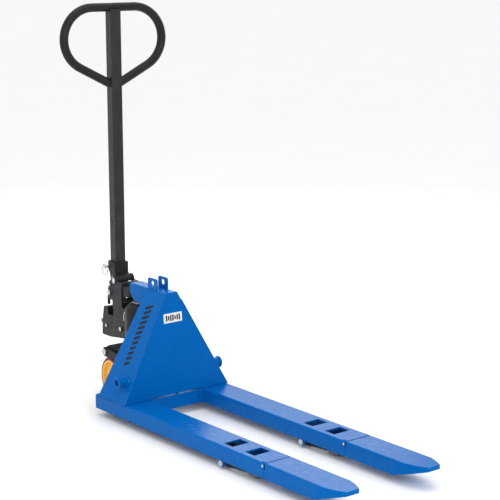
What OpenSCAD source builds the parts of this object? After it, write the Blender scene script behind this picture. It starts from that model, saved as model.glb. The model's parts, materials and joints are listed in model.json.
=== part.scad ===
// Manual hydraulic pallet truck with a narrow fork pair and folding fork tips.
// +X runs towards the fork tips, +Z is up, Y runs across. The origin is on the ground,
// under the middle of the overall length and width.

/* [Overall] */
// Width over both forks
fork_span = 400; // [360:1:460]
// Length of the forks in front of the upright
fork_reach = 1000; // [880:1:1150]
// Height of the fork tops when lowered
deck_z = 70; // [66:0.5:80]
// Height of the handle above the ground
handle_height = 1284; // [1100:1:1400]
// Angle at which the steering stands
steer_rest = -6.6; // [-20:0.1:20]

/* [Forks] */
// Width of one fork
fork_w = 100; // [92:1:120]
// Depth of the fork's side walls
fork_depth = 45; // [40:0.5:52]
// Sheet thickness of forks and tips
fork_t = 5; // [4:0.1:6]
// Radius along the fork's top edges
edge_r = 7; // [5.5:0.1:9]
// Length of the forks behind the upright's front
fork_tail = 166; // [160:1:190]
// Back edge of the rear window
window_x = 476; // [460:1:486]
// Length of each window
window_l = 44; // [36:1:48]
// Distance from one window to the next
window_pitch = 98; // [92:1:104]
// Width of each window
window_w = 60; // [50:1:66]

/* [Fork tips] */
// Hinge line of the folding tips
hinge_x = 680; // [670:1:700]
// Depth of the hinge pin below the deck
hinge_drop = 9; // [8.5:0.1:12]
// Radius of the hinge pin
hinge_pin_r = 4; // [3:0.1:4.5]
// Width of the tip's blunt end
tip_end_w = 44; // [36:1:60]
// Height of the tip's blunt end
tip_end_h = 13; // [11:0.5:18]
// Length over which the tip narrows and rises
tip_taper = 111; // [90:1:140]

/* [Upright] */
// Height of the upright above the deck
upright_h = 326; // [300:1:360]
// Length of the upright's top cap
cap_l = 196; // [190:1:210]
// Width of the top cap
cap_w = 50; // [44:1:56]
// How far the front plate leans back at the cap
front_lean = 26; // [15:1:35]
// Depth of the side plates at the foot
side_l = 148; // [135:1:155]
// How far the side plates' rear edge leans forwards
side_lean = 21; // [10:1:30]
// Sheet thickness of the upright
plate_t = 5; // [4:0.1:6]
// Radius of the hole in the lifting lugs
lug_hole_r = 9; // [7:0.5:10]
// Length of each lifting lug
lug_l = 50; // [40:1:56]
// Height of the lifting lugs above the cap
lug_h = 36; // [32:1:44]

/* [Lift] */
// Stroke of the lift
lift = 110; // [90:1:110]
// Radius of the piston rod
piston_r = 14; // [12:0.5:16]
// Height of the torsion shaft above the deck
shaft_rise = 62; // [58:1:68]
// Distance from the upright's foot back to the torsion shaft
shaft_back = 45; // [42:1:50]
// Radius of the torsion shaft
shaft_r = 11; // [10:0.5:12]
// Length of the lift arms
arm_l = 255; // [250:1:262]
// Distance of the push rods from the middle
rod_y = 141; // [138:1:144]
// Radius of the push rods
rod_r = 8; // [6:0.5:9]

/* [Load rollers] */
// Diameter of the load rollers
roller_d = 60; // [54:1:62]
// Width of the load rollers
roller_w = 52; // [40:1:54]
// Distance of the bracket pins from the upright's foot
bracket_x = 492; // [485:1:500]
// Height of the bracket pins
bracket_z = 18; // [16.5:0.5:20]
// Length from the bracket pin to the roller
bracket_l = 116; // [105:1:120]

/* [Steering] */
// Distance of the steering axis behind the upright's foot
steer_back = 202; // [200:1:206]
// Diameter of the steering wheels
wheel_d = 140; // [130:1:142]
// Width of the steering wheels
wheel_w = 50; // [40:1:55]
// Distance of the axle behind the steering axis
trail = 75; // [70:1:80]
// Radius of the steering axle
axle_r = 10; // [8:0.5:12]
// Outer radius of the oil tank
tank_r = 50; // [46:1:52]

/* [Handle] */
// Width across the square handle tube
tube_w = 36; // [32:1:38]
// Wall of the handle tube
tube_t = 3; // [2:0.1:4]
// Distance of the handle tube behind the steering axis
tube_back = 150; // [146:1:156]
// Distance of the handle pivot behind the steering axis
pivot_back = 115; // [112:1:118]
// Height of the handle pivot above the ground
pivot_z = 386; // [380:1:392]
// Width over the loop handle
loop_w = 376; // [320:1:390]
// Height of the loop handle
loop_h = 272; // [250:1:300]
// Radius of the loop's tube
loop_r = 14; // [11:0.5:16]
// Wall of the loop's tube
loop_t = 2.5; // [2:0.1:4]

/* [Hidden] */

$fn = 64;
hull_fn = 32;
// Radial clearance of a running fit
run = 0.05;
// Gap between parts that pass each other
gap = 0.5;
// Clearance in the slotted pivots of the lift linkage
slot_gap = 2;
// Overlap of a cutting shape past the face that it cuts
cut = 1;
// The straight sides of a link lie this far inside the common tangent of its round ends
inset = 0.1;
// Radial clearance of the pins in the levers' and rods' slots
pin_gap = 0.8;
// Side signs: right is -Y and left is +Y
right = -1;
left = 1;

blue = [0.05, 0.32, 0.66];
black = [0.07, 0.07, 0.08];
steel = [0.75, 0.76, 0.78];
yellow = [0.95, 0.65, 0.12];
dark_red = [0.55, 0.1, 0.12];

// Forks
fork_y = (fork_span - fork_w) / 2;
fork_inner = fork_w / 2 - fork_t;
fork_end = hinge_x + 6;
tip_start = hinge_x + norm([fork_end - hinge_x, hinge_drop]) + 0.4;
ear_t = 4;
ear_y = fork_inner - gap - ear_t / 2;
ear_slot_w = ear_t + 2 * gap;
ear_slot_l = 16;
window_y = fork_w / 2 - 50.5;
tab_r = 12;
bolt_r = 6;

// Upright
cap_z = deck_z + upright_h;
cap_rear = -front_lean - cap_l;
slope_run = fork_span / 2 - cap_w / 2;
slope_rise = upright_h - plate_t;
side_angle = atan2(slope_run, slope_rise);
side_height = norm([slope_run, slope_rise]);
front_angle = atan2(front_lean, slope_rise);
front_height = norm([front_lean, slope_rise]);
cap_flange = 57;
cap_skirt = 24;
flange_r = 42;
lug_t = 5;
lug_y = 20;
lug_x = -front_lean - 72;
boss_r = shaft_r + 4.5;
boss_wall_y = fork_span / 2 - shaft_rise * slope_run / slope_rise;

// Lift linkage
shaft_x = -shaft_back;
shaft_z = deck_z + shaft_rise;
swivel_pin_x = shaft_x - arm_l;
swivel_pin_z = shaft_z + 26;
swivel_pin_r = 6;
arm_start = atan2(swivel_pin_z - shaft_z, -arm_l);
arm_end = atan2(swivel_pin_z - lift - shaft_z, -arm_l) + 360;
arm_turn = arm_end - arm_start;
slot_near = norm([arm_l, swivel_pin_z - shaft_z]);
slot_far = norm([arm_l, swivel_pin_z - lift - shaft_z]);
arm_t = 12;
arm_y = 68;
bracket_turn = 63.1;
rod_z = 48;
lever_l = shaft_z - rod_z;
lever_t = 10;
eye_pin_r = 5;
rod_travel = 2 * lever_l * tan(arm_turn / 2);
lever_end_x = shaft_x - rod_travel / 2;
eye_r = rod_travel / 2 / sin(bracket_turn / 2);
eye_x = bracket_x - rod_travel / 2;
eye_z = bracket_z + eye_r * cos(bracket_turn / 2);
roller_z = roller_d / 2;
roller_x = bracket_x + sqrt(bracket_l * bracket_l - (roller_z - bracket_z) * (roller_z - bracket_z));
roller_axle_r = 10;
bush_r = 14;
cheek_t = 6;
cheek_y = roller_w / 2 + 1 + cheek_t / 2;

// Steering and pump
steer_x = -steer_back;
swivel_low = 146;
swivel_high = 172;
bearing_h = 6;
neck_r = 28;
base_w = 46;
tank_low = 200;
tank_high = 330;
tank_t = 6;
wheel_y = base_w / 2 + 2 + wheel_w / 2;
wheel_z = wheel_d / 2;
hub_r = wheel_d / 2 - 11;
plunger_x = -tube_back + 3;
press_rise = 4;
press_r = 11;
pump_half = 33;
ear_in = 25;
plunger_top = pivot_z + press_rise - press_r - 0.3;
plunger_r = 8;
plunger_stroke = 39.2;
well_low = 206;
plunger_low = well_low + 6 + plunger_stroke;
spring_low = 262;
spring_high = 312;
lever_back = 222;
release_y = 22;
release_w = 12;
release_x = -lever_back + 8;
release_z = 231;
release_ear_t = 4;

// Handle
socket_low = pivot_z + 18;
socket_high = pivot_z + 56;
socket_w = 49;
lock_x = -tube_back - 8;
lock_z = socket_high - 16;
lock_lean = 25;
lock_r = 4;
lock_out = pump_half + 11;
loop_low = handle_height - loop_h;
side_r = 100;
// The loop's straight lengths enter its bends by joint_l and are slimmer by joint_step
joint_l = 0.5;
joint_step = 0.05;

// Middle of the overall length
rear_x = steer_x - cos(steer_rest) * lever_back + sin(steer_rest) * (release_y + release_w / 2);
centre_x = (fork_reach + rear_x) / 2;

// ---- helpers ----

module at_origin() {
    translate([-centre_x, 0, 0]) children();
}

module at_pump() {
    at_origin() translate([steer_x, 0, 0]) rotate([0, 0, steer_rest]) children();
}

module at_fork(side) {
    at_origin() translate([0, side * fork_y, 0]) children();
}

// A section drawn in Y and Z, drawn out along X
module along_x(length) {
    rotate([90, 0, 90]) linear_extrude(length) children();
}

// An outline drawn in X and Z, drawn out evenly about Y = 0
module across_y(width) {
    rotate([90, 0, 0]) linear_extrude(width, center = true) children();
}

module bar_y(x, z, r, width, y = 0) {
    translate([x, y, z]) rotate([90, 0, 0]) cylinder(r = r, h = width, center = true);
}

module block(x, y, z) {
    translate([x[0], y[0], z[0]]) cube([x[1] - x[0], y[1] - y[0], z[1] - z[0]]);
}

// A channel section open at the bottom, its top at zero
module channel(w, h, t, r) {
    difference() {
        union() {
            translate([-w / 2, -h]) square([w, h - r]);
            translate([-w / 2 + r, -h]) square([w - 2 * r, h]);
            for (s = [-1, 1]) translate([s * (w / 2 - r), -r]) circle(r);
        }
        translate([-w / 2 + t, -h - cut]) square([w - 2 * t, h + cut - t - (r - t)]);
        translate([-w / 2 + r, -h - cut]) square([w - 2 * r, h + cut - t]);
        for (s = [-1, 1]) translate([s * (w / 2 - r), -r]) circle(r - t);
    }
}

// A straight bar with round ends between two points
module link(a, b, ra, rb) {
    angle = atan2(b[1] - a[1], b[0] - a[0]);
    span = norm(b - a);
    tilt = asin((ra - rb) / span);
    n = [-sin(angle), cos(angle)];
    pa = ra / cos(tilt) - inset;
    pb = rb / cos(tilt) - inset;
    polygon([a + pa * n, b + pb * n, b - pb * n, a - pa * n]);
    translate(a) circle(ra);
    translate(b) circle(rb);
}

// ---- frame ----

module fork(side) {
    color(blue) at_fork(side) difference() {
        union() {
            translate([-fork_tail, 0, deck_z])
                along_x(fork_end + fork_tail) channel(fork_w, fork_depth, fork_t, edge_r);
            block([-fork_tail, -fork_tail + fork_t], [-fork_inner, fork_inner],
                [deck_z - fork_depth, deck_z - fork_t]);
            for (s = [-1, 1]) {
                bar_y(bracket_x, bracket_z, tab_r, fork_t, s * (fork_w - fork_t) / 2);
                block([bracket_x - tab_r, bracket_x + tab_r],
                    [s * (fork_w - fork_t) / 2 - fork_t / 2, s * (fork_w - fork_t) / 2 + fork_t / 2],
                    [bracket_z, deck_z - fork_depth + cut]);
            }
        }
        for (i = [0, 1]) translate([window_x + i * window_pitch, -side * 0.5, 0])
            block([0, window_l], [-window_w / 2, window_w / 2], [deck_z - 2 * fork_t, deck_z + cut]);
        for (s = [-1, 1]) block([fork_end - ear_slot_l, fork_end + cut],
            [s * ear_y - ear_slot_w / 2, s * ear_y + ear_slot_w / 2],
            [deck_z - fork_t - cut, deck_z + cut]);
        block([shaft_x - 32, shaft_x + 32], [side * (rod_y - fork_y) - 9, side * (rod_y - fork_y) + 9],
            [deck_z - fork_t - cut, deck_z + cut]);
        bar_y(bracket_x, bracket_z, bolt_r, fork_w + cut);
        bar_y(hinge_x, deck_z - hinge_drop, hinge_pin_r, fork_w + cut);
    }
}

module right_fork() fork(right);
module left_fork() fork(left);

module cross_member() {
    half = fork_y - fork_w / 2;
    color(blue) at_origin() difference() {
        union() {
            block([-plate_t, 0], [-half, half], [deck_z - fork_depth, deck_z]);
            block([-40, -plate_t], [-half, half], [deck_z - plate_t, deck_z]);
        }
        translate([0, half - 14, deck_z - 24]) rotate([0, 90, 0])
            cylinder(r = 4, h = 4 * plate_t, center = true);
    }
}

module front_plate() {
    foot = plate_t * tan(front_angle);
    slot_h = 3;
    notch = (upright_h - cap_skirt) / cos(front_angle);
    half = fork_y - fork_w / 2;
    outline = [[half, foot + slot_h], [half, foot], [fork_span / 2, foot],
        [cap_w / 2, front_height], [cap_w / 2, notch]];
    mirrored = [for (i = [len(outline) - 1 : -1 : 0]) [-outline[i][0], outline[i][1]]];
    color(blue) at_origin() translate([0, 0, deck_z]) rotate([0, -front_angle, 0])
        translate([-plate_t, 0, 0]) along_x(plate_t) polygon(concat(outline, mirrored));
}

module side_plate(side) {
    face_back = plate_t / cos(front_angle);
    color(blue) at_origin() mirror([0, side > 0 ? 1 : 0, 0]) difference() {
        intersection() {
            translate([0, -fork_span / 2, deck_z]) rotate([-side_angle, 0, 0])
                rotate([90, 0, 0]) translate([0, 0, -plate_t]) linear_extrude(plate_t)
                polygon([[-side_l, 0], [-face_back, 0],
                    [-face_back - front_lean, side_height], [-side_l + side_lean, side_height]]);
            block([-side_l, 0], [-fork_span / 2, 0], [deck_z, cap_z - plate_t]);
        }
        bar_y(shaft_x, shaft_z, boss_r + run, fork_w, -boss_wall_y);
        translate([0, 0, cap_z]) block([cap_rear - cut, 0], [-cap_w / 2, cap_w / 2], [-cap_skirt, 0]);
    }
}

module right_side_plate() side_plate(right);
module left_side_plate() side_plate(left);

module top_cap() {
    flange_front = -side_l + side_lean + 30;
    color(blue) at_origin() difference() {
        union() {
            translate([cap_rear, 0, cap_z]) along_x(cap_l) channel(cap_w, cap_skirt, plate_t, plate_t + 1);
            block([-front_lean - plate_t, -front_lean], [-cap_w / 2 + plate_t, cap_w / 2 - plate_t],
                [cap_z - cap_skirt, cap_z - plate_t]);
            for (s = [-1, 1]) translate([0, s * (cap_w - plate_t) / 2, cap_z]) across_y(plate_t) {
                translate([cap_rear + flange_r, -cap_flange])
                    square([flange_front - cap_rear - flange_r, cap_flange - cap_skirt + cut]);
                intersection() {
                    translate([cap_rear + flange_r, -cap_flange + flange_r]) circle(flange_r);
                    translate([cap_rear, -cap_flange])
                        square([flange_r + cut, cap_flange - cap_skirt + cut]);
                }
            }
        }
        for (s = [-1, 1]) block([flange_front - cut, flange_front],
            [s * cap_w / 2 - plate_t, s * cap_w / 2 + plate_t], [cap_z - 2 * cap_flange, cap_z - cap_flange]);
    }
}

module lifting_lugs() {
    corner = 8;
    color(blue) at_origin() for (s = [-1, 1]) translate([lug_x, s * lug_y, cap_z]) across_y(lug_t)
        difference() {
            union() {
                translate([-lug_l / 2, 0]) square([lug_l, lug_h - corner]);
                translate([-lug_l / 2 + corner, 0]) square([lug_l - 2 * corner, lug_h]);
                for (e = [-1, 1]) translate([e * (lug_l / 2 - corner), lug_h - corner]) circle(corner);
            }
            translate([0, lug_h - lug_hole_r - 8]) circle(lug_hole_r);
        }
}

module pivot_bosses() {
    inner_y = rod_y + lever_t / 2 + gap;
    length = fork_span / 2 - inner_y;
    color(blue) at_origin() for (s = [-1, 1]) difference() {
        bar_y(shaft_x, shaft_z, boss_r, length, s * (inner_y + length / 2));
        bar_y(shaft_x, shaft_z, shaft_r + run, length + cut, s * (inner_y + length / 2));
    }
}

module piston_seat() {
    seat_h = 12;
    color(steel) at_origin() translate([steer_x, 0, cap_z - plate_t - seat_h]) difference() {
        cylinder(r = piston_r + 4, h = seat_h);
        translate([0, 0, -cut]) cylinder(r = piston_r, h = seat_h - 4 + cut);
    }
}

module piston_rod() {
    color(steel) at_origin() translate([steer_x, 0, 0]) {
        translate([0, 0, tank_low + tank_t + 2])
            cylinder(r = piston_r, h = cap_z - plate_t - 4 - tank_low - tank_t - 2);
    }
}

module load_plate() {
    plate_w = 70;
    plate_h = 30;
    rise = 232;
    color("white") at_origin() translate([0, 0, deck_z]) rotate([0, -front_angle, 0])
        block([0, 0.8], [-plate_w / 2, plate_w / 2], [rise, rise + plate_h]);
}

module foot_bolt() {
    color(steel) at_origin() translate([-20, 10, deck_z]) {
        cylinder(r = 7, h = 4, $fn = 6);
        cylinder(r = 4, h = 10);
    }
}

module bracket_pins() {
    head = 4;
    color(steel) at_origin() for (s = [-1, 1]) {
        bar_y(bracket_x, bracket_z, bolt_r, fork_w, s * fork_y);
        for (e = [-1, 1]) bar_y(bracket_x, bracket_z, bolt_r + 3, head, s * fork_y + e * (fork_w + head) / 2);
    }
}

module tip_pins() {
    length = fork_t + gap + ear_t + 3;
    color(steel) at_origin() for (s = [-1, 1], e = [-1, 1])
        bar_y(hinge_x, deck_z - hinge_drop, hinge_pin_r, length, s * fork_y + e * (fork_w / 2 + cut - length / 2));
}

// ---- folding tips ----

// One side of the tip in plan: an arc from the straight side to the blunt end
function tip_edge(half, end_half, steps = 12) =
    let (drop = half - end_half, r = (tip_taper * tip_taper + drop * drop) / (2 * drop))
    [for (i = [0 : steps]) let (dx = tip_taper * i / steps)
        [fork_reach - tip_taper + dx, half - r + sqrt(r * r - dx * dx)]];

module tip_plan(half, end_half) {
    edge = concat([[fork_end, half]], tip_edge(half, end_half));
    polygon(concat(edge, [for (i = [len(edge) - 1 : -1 : 0]) [edge[i][0], -edge[i][1]]]));
}

// Side view of the tip; the upper rear edge stands back so that the tip can fold up
module tip_side() {
    step = -hinge_drop - 10;
    polygon([[tip_start, 0], [fork_reach, 0], [fork_reach, -tip_end_h],
        [fork_reach - tip_taper, -fork_depth], [fork_end + 1, -fork_depth],
        [fork_end + 1, step], [tip_start, step]]);
}

module tip_hollow() {
    x_rise = fork_reach - tip_taper;
    polygon([[0, -fork_t], [fork_reach - fork_t, -fork_t], [fork_reach - fork_t, -tip_end_h + fork_t],
        [x_rise, -fork_depth + fork_t], [x_rise - fork_t, -fork_depth - cut], [0, -fork_depth - cut]]);
}

module rounded_top(w, h, r) {
    translate([-w / 2, -h]) square([w, h - r]);
    translate([-w / 2 + r, -h]) square([w - 2 * r, h]);
    for (s = [-1, 1]) translate([s * (w / 2 - r), -r]) circle(r);
}

module tip(side) {
    ear_r = hinge_drop - 0.8;
    ear_side = ear_y - ear_t / 2;
    ear_end = tip_start + 26;
    pin_z = deck_z - hinge_drop;
    ear_low = pin_z - ear_r + 0.3;
    ear_high = deck_z - fork_t + cut;
    color(blue) at_fork(side) difference() {
        union() {
            difference() {
                intersection() {
                    translate([0, 0, deck_z - fork_depth]) linear_extrude(fork_depth)
                        tip_plan(fork_w / 2, tip_end_w / 2);
                    translate([0, 0, deck_z]) across_y(fork_w + cut) tip_side();
                    translate([fork_end, 0, deck_z])
                        along_x(fork_reach - fork_end + cut) rounded_top(fork_w, fork_depth + cut, edge_r);
                }
                intersection() {
                    translate([0, 0, deck_z - fork_depth - cut]) linear_extrude(fork_depth + cut)
                        translate([-2 * fork_t, 0]) tip_plan(fork_inner, tip_end_w / 2 - fork_t);
                    translate([0, 0, deck_z]) across_y(fork_w) tip_hollow();
                }
            }
            for (m = [0, 1]) mirror([0, m, 0]) {
                bar_y(hinge_x, pin_z, ear_r, ear_t, ear_y);
                block([hinge_x, ear_end], [ear_side, ear_side + ear_t], [ear_low, ear_high]);
                block([tip_start + 2, ear_end - 1], [ear_side + 1, fork_inner + 1], [ear_low, ear_high]);
            }
        }
        for (s = [-1, 1]) bar_y(hinge_x, pin_z, hinge_pin_r + run, ear_t + gap, s * ear_y);
    }
}

module right_tip() tip(right);
module left_tip() tip(left);

// ---- lift linkage ----

module torsion_shaft() {
    length = fork_span - 24;
    color(steel) at_origin() bar_y(shaft_x, shaft_z, shaft_r, length);
}

// Side view of a lift arm, from its hub back to its slotted end. Its waist lets the pump's
// casting swing over the arm when the truck is raised.
module arm_side() {
    hub = [shaft_x, shaft_z];
    end = [swivel_pin_x, swivel_pin_z];
    low = swivel_low - 4;
    high = swivel_high + 12;
    waist_z = swivel_pin_z - 5;
    difference() {
        union() {
            translate(hub) circle(shaft_r + 11);
            translate(end) circle(swivel_pin_z - low);
            polygon([[end[0], low], [shaft_x - 72, low], [shaft_x - 14, shaft_z - 17],
                [shaft_x + 8, shaft_z + 20], [steer_x + 60, high], [steer_x + 28, high],
                [steer_x + 12, waist_z], [end[0] + 60, end[1] + 7], [end[0] - 2, end[1] + 14.8]]);
        }
        translate(hub) rotate(arm_start) translate([slot_near, 0]) arm_slot();
    }
}

// The slot lets the arm's pivot distance grow as the arm swings
module arm_slot() {
    half = swivel_pin_r + slot_gap;
    grow = slot_far - slot_near;
    circle(half);
    translate([grow, 0]) circle(half);
    translate([0, -half]) square([grow, 2 * half]);
}

module lift_arms() {
    color(black) at_origin() difference() {
        union() {
            for (s = [-1, 1]) translate([0, s * arm_y, 0]) across_y(arm_t) arm_side();
            bar_y(shaft_x, shaft_z, shaft_r + 7, 2 * arm_y);
        }
        bar_y(shaft_x, shaft_z, shaft_r, 2 * arm_y + 2 * arm_t);
    }
}

module push_levers() {
    tilt = arm_turn / 2;
    slot_half = eye_pin_r + pin_gap;
    grow = lever_l / cos(tilt) - lever_l;
    color(black) at_origin() for (s = [-1, 1]) translate([shaft_x, s * rod_y, shaft_z])
        rotate([0, tilt, 0]) across_y(lever_t) difference() {
            union() {
                circle(shaft_r + 7);
                link([0, 0], [0, -lever_l - 1], shaft_r + 4, 12);
            }
            circle(shaft_r);
            translate([0, -lever_l]) circle(slot_half);
            translate([0, -lever_l - grow]) circle(slot_half);
            translate([-slot_half, -lever_l - grow]) square([2 * slot_half, grow]);
        }
}

module lever_pins() {
    length = lever_t + 2 * (gap + 5);
    color(steel) at_origin() for (s = [-1, 1]) {
        bar_y(lever_end_x, rod_z, eye_pin_r, length + 3, s * rod_y);
        for (e = [-1, 1]) bar_y(lever_end_x, rod_z, eye_pin_r + 2, 1.5, s * rod_y + e * (length / 2 + 0.75));
    }
}

// Push rod: a clevis at the lever, a round bar and a slotted eye at the bracket
module push_rod(side) {
    plate_y = lever_t / 2 + gap + 2.5;
    neck_x = lever_end_x + 62;
    slot_half = eye_pin_r + pin_gap;
    grow = eye_r * (1 - cos(bracket_turn / 2));
    color(black) at_origin() translate([0, side * rod_y, 0]) difference() {
        union() {
            for (s = [-1, 1]) translate([0, s * plate_y, 0]) across_y(5) difference() {
                union() {
                    translate([lever_end_x, rod_z]) circle(11);
                    translate([lever_end_x, rod_z - 11]) square([neck_x - lever_end_x, 22]);
                }
                translate([lever_end_x, rod_z]) circle(eye_pin_r);
            }
            block([neck_x - 14, neck_x], [-plate_y - 2.5, plate_y + 2.5], [rod_z - 11, rod_z + 11]);
            translate([neck_x - cut, 0, rod_z]) rotate([0, 90, 0])
                cylinder(r = rod_r, h = eye_x - 20 - neck_x + 2 * cut);
            translate([0, 0, rod_z]) across_y(lever_t) translate([eye_x - 20, -10]) square([20, 23]);
            translate([eye_x, 0, rod_z]) across_y(lever_t) translate([0, -10]) square([10, 23]);
        }
        for (dz = [0, grow]) bar_y(eye_x, eye_z + dz, slot_half, lever_t + cut);
        translate([0, 0, eye_z]) block([eye_x - slot_half, eye_x + slot_half],
            [-lever_t / 2 - cut, lever_t / 2 + cut], [0, grow]);
    }
}

module right_push_rod() push_rod(right);
module left_push_rod() push_rod(left);

// Roller bracket: two cheeks on a hub, and two short arms for the push rod's eye
module bracket(side) {
    ear_y0 = side * (rod_y - fork_y);
    arm_offset = lever_t / 2 + gap + 3;
    color(black) at_fork(side) difference() {
        union() {
            bar_y(bracket_x, bracket_z, bolt_r + 5, 2 * cheek_y);
            for (s = [-1, 1]) {
                translate([0, s * cheek_y, 0]) across_y(cheek_t)
                    link([bracket_x, bracket_z], [roller_x, roller_z], 13, 15);
                translate([0, ear_y0 + s * arm_offset, 0]) across_y(6)
                    link([bracket_x, bracket_z], [eye_x, eye_z], 11, 9.5);
            }
        }
        bar_y(bracket_x, bracket_z, bolt_r + run, fork_w);
        bar_y(roller_x, roller_z, roller_axle_r, fork_w);
        bar_y(eye_x, eye_z, eye_pin_r, fork_w);
    }
}

module right_bracket() bracket(right);
module left_bracket() bracket(left);

module eye_pin(side) {
    ear_y0 = side * (rod_y - fork_y);
    length = lever_t + 2 * (gap + 6);
    color(steel) at_fork(side) {
        bar_y(eye_x, eye_z, eye_pin_r, length + 3, ear_y0);
        for (e = [-1, 1]) bar_y(eye_x, eye_z, eye_pin_r + 2, 1.5, ear_y0 + e * (length / 2 + 0.75));
    }
}

module right_eye_pin() eye_pin(right);
module left_eye_pin() eye_pin(left);

module roller_axle(side) {
    length = 2 * cheek_y + cheek_t;
    color(steel) at_fork(side) {
        bar_y(roller_x, roller_z, roller_axle_r, length);
        for (e = [-1, 1]) bar_y(roller_x, roller_z, roller_axle_r + 3, 1.5, e * (length / 2 + 0.75));
    }
}

module right_roller_axle() roller_axle(right);
module left_roller_axle() roller_axle(left);

module roller(side) {
    chamfer = 3;
    half = roller_w / 2;
    r = roller_d / 2;
    color([0.2, 0.18, 0.17]) at_fork(side) translate([roller_x, 0, roller_z]) rotate([90, 0, 0])
        rotate_extrude() polygon([[bush_r, -half], [r - chamfer, -half], [r, -half + chamfer],
            [r, half - chamfer], [r - chamfer, half], [bush_r, half]]);
}

module right_roller() roller(right);
module left_roller() roller(left);

module roller_bush(side) {
    color(steel) at_fork(side) difference() {
        bar_y(roller_x, roller_z, bush_r, roller_w);
        bar_y(roller_x, roller_z, roller_axle_r + run, roller_w + cut);
    }
}

module right_roller_bush() roller_bush(right);
module left_roller_bush() roller_bush(left);

// ---- swivel plate under the pump ----

module swivel_plate() {
    half = arm_y - arm_t / 2 - 1;
    rear = steer_x - 116;
    front = steer_x + 52;
    corner = 16;
    color(black) at_origin() difference() {
        union() {
            translate([0, 0, swivel_low]) linear_extrude(swivel_high - swivel_low) {
                translate([rear + corner, -half]) square([front - rear - 2 * corner, 2 * half]);
                translate([rear, -half + corner]) square([front - rear, 2 * half - 2 * corner]);
                for (x = [rear + corner, front - corner], s = [-1, 1])
                    translate([x, s * (half - corner)]) circle(corner);
            }
        }
        translate([steer_x, 0, 0]) cylinder(r = neck_r + run, h = tank_high);
        for (s = [-1, 1]) bar_y(swivel_pin_x, swivel_pin_z, swivel_pin_r, 60, s * half);
    }
}

module thrust_bearing() {
    color(steel) at_origin() translate([steer_x, 0, swivel_high]) difference() {
        cylinder(r = neck_r + 15, h = bearing_h);
        translate([0, 0, -cut]) cylinder(r = neck_r + gap, h = bearing_h + 2 * cut);
    }
}

module swivel_bolts() {
    inner = arm_y - arm_t / 2 - 31;
    outer = arm_y + arm_t / 2 + gap;
    head = 5;
    color(steel) at_origin() for (s = [-1, 1]) {
        bar_y(swivel_pin_x, swivel_pin_z, swivel_pin_r, outer - inner, s * (inner + outer) / 2);
        bar_y(swivel_pin_x, swivel_pin_z, swivel_pin_r + 4.5, head, s * (outer + head / 2));
    }
}

// ---- pump unit, which steers ----

// Neck through the swivel plate, and the narrow foot that holds the axle
module pump_base() {
    half = base_w / 2;
    foot_high = swivel_low - 4;
    color(black) at_pump() difference() {
        union() {
            translate([0, 0, foot_high]) cylinder(r = neck_r, h = tank_low - foot_high);
            translate([0, 0, swivel_high + bearing_h])
                cylinder(r = neck_r + 14, h = tank_low - swivel_high - bearing_h);
            across_y(base_w) {
                link([-trail, wheel_z], [-10, wheel_z + 6], 26, 24);
                translate([-34, wheel_z]) square([56, foot_high - wheel_z]);
                polygon([[-trail - 20, wheel_z + 16], [-trail + 8, foot_high - 18],
                    [-34, foot_high], [22, foot_high], [10, wheel_z]]);
            }
        }
        bar_y(-trail, wheel_z, axle_r, base_w + cut);
    }
}

module base_clip() {
    color(steel) at_pump() translate([0, 0, swivel_low - 3.5]) difference() {
        cylinder(r = neck_r + 6, h = 3);
        translate([0, 0, -cut]) cylinder(r = neck_r, h = 3 + 2 * cut);
    }
}

module oil_tank() {
    shoulder = 18;
    bore_r = piston_r + 5;
    color(black) at_pump() rotate_extrude() difference() {
        union() {
            translate([0, tank_low]) square([tank_r, tank_high - tank_low - shoulder]);
            translate([0, tank_low]) square([tank_r - shoulder, tank_high - tank_low]);
            translate([tank_r - shoulder, tank_high - shoulder]) circle(shoulder);
        }
        translate([-tank_r, 0]) square([tank_r, 2 * tank_high]);
        translate([0, tank_low + tank_t]) square([bore_r, tank_high]);
    }
}

// Guide and seal around the piston rod
module tank_gland() {
    bore_r = piston_r + 5;
    color(steel) at_pump() translate([0, 0, tank_high - 20]) difference() {
        union() {
            cylinder(r = bore_r, h = 20);
            translate([0, 0, 20]) cylinder(r = bore_r + 5, h = 6);
        }
        translate([0, 0, -cut]) cylinder(r = piston_r + run, h = 30);
    }
}

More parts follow.
